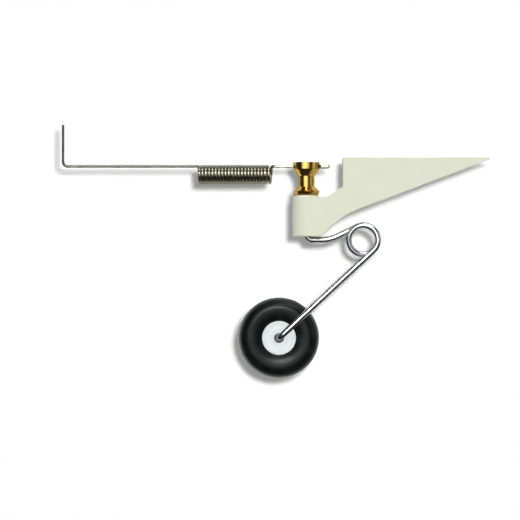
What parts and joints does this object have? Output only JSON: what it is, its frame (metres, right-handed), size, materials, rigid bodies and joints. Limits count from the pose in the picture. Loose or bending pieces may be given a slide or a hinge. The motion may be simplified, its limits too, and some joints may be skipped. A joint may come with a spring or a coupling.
{
  "type": "model aircraft tailwheel assembly",
  "caption": "Steerable sprung tailwheel: a moulded bracket holds a pivoting wire strut with a spring loop and rubber wheel, steered by a turned hub and a coil-sprung tiller wire.",
  "frame": {"origin": "On the mounting face, midway between the two screw holes", "axes": "+Z out of the mounting face towards the fuselage, +X along the foot towards the aircraft's nose, +Y to the aircraft's left"},
  "size_m": [0.1369, 0.0148, 0.081],
  "materials": {
    "bracket_nylon": "satin moulded cream nylon",
    "bush_brass": "machined",
    "washer_nylon": "satin",
    "hub_brass": "turned and polished",
    "screw_steel": "black oxide",
    "strut_wire": "bright spring steel",
    "collar_nickel": "nickel plated",
    "tyre_rubber": "moulded black rubber",
    "wheel_nylon": "satin moulded white nylon",
    "tiller_wire": "bright spring steel"
  },
  "bodies": {
    "bracket": {"bracket": "bracket_nylon", "pivot_bush": "bush_brass", "thrust_washer": "washer_nylon"},
    "swivel": {"steering_hub": "hub_brass", "hub_set_screw": "screw_steel", "strut_post": "strut_wire", "strut_loop": "strut_wire"},
    "strut_arm": {"strut_leg": "strut_wire", "axle_collar": "collar_nickel", "collar_set_screw": "screw_steel"},
    "wheel": {"tyre": "tyre_rubber", "hub_near_half": "wheel_nylon", "hub_far_half": "wheel_nylon", "axle_bush": "collar_nickel"},
    "tiller": {"tiller_shank": "tiller_wire", "tiller_spring": "tiller_wire"},
    "tiller_arm": {"tiller_rod": "tiller_wire"}
  },
  "joints": [
    {"name": "swivel_turn", "type": "hinge", "parent": "bracket", "child": "swivel", "pos_m": [-0.0286, 0, -0.0186], "axis": [0, 0, 1], "range_deg": [-140, 140]},
    {"name": "strut_flex", "type": "hinge", "parent": "swivel", "child": "strut_arm", "pos_m": [-0.0105, 0, -0.02624], "axis": [0, 1, 0], "range_deg": [-10, 18], "stiffness_Nm_per_rad": 2.4, "deforming": ["strut_loop"]},
    {"name": "wheel_spin", "type": "hinge", "parent": "strut_arm", "child": "wheel", "pos_m": [-0.03742, 0, -0.05751], "axis": [0, 1, 0], "continuous": true},
    {"name": "tiller_slide", "type": "slide", "parent": "swivel", "child": "tiller", "axis": [1, 0, 0], "range_m": [0, 0.0035]},
    {"name": "tiller_flex", "type": "hinge", "parent": "tiller", "child": "tiller_arm", "pos_m": [-0.05138, 0, -0.0027], "axis": [0, 0, 1], "range_deg": [-30, 30], "stiffness_Nm_per_rad": 0.0086, "deforming": ["tiller_spring"]}
  ]
}
